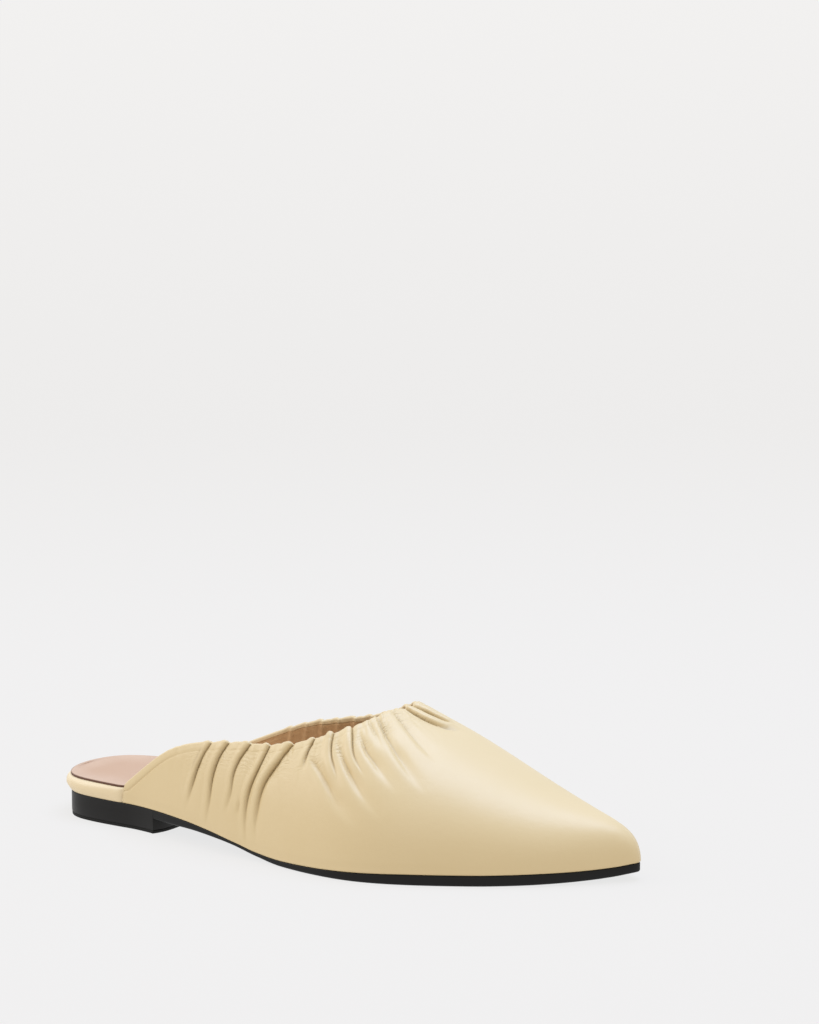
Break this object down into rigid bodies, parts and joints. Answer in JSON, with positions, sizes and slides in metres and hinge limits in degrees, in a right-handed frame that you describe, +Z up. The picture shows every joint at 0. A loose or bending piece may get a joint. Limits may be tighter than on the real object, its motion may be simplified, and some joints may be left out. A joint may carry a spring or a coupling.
{
  "type": "mule shoe",
  "caption": "Flat pointed mule for the right foot: gathered leather upper open at the back, slim sole, low block heel.",
  "frame": {"origin": "on the floor, under the middle of the shoe's bounding box", "axes": "+X towards the toe, +Y towards the medial side, +Z up from the floor"},
  "size_m": [0.269, 0.089, 0.0618],
  "materials": {
    "sole": "satin black, moulded with the block heel",
    "top_piece": "matte black",
    "rand_leather": "smooth butter yellow nappa, semi-gloss",
    "sock_leather": "pale pink lining leather, matte",
    "upper_leather": "soft butter yellow nappa, gathered, semi-gloss"
  },
  "bodies": {
    "root": {"outsole": "sole", "heel_top_piece": "top_piece", "footbed": "rand_leather", "insole_sock": "sock_leather", "upper": "upper_leather"}
  },
  "joints": []
}
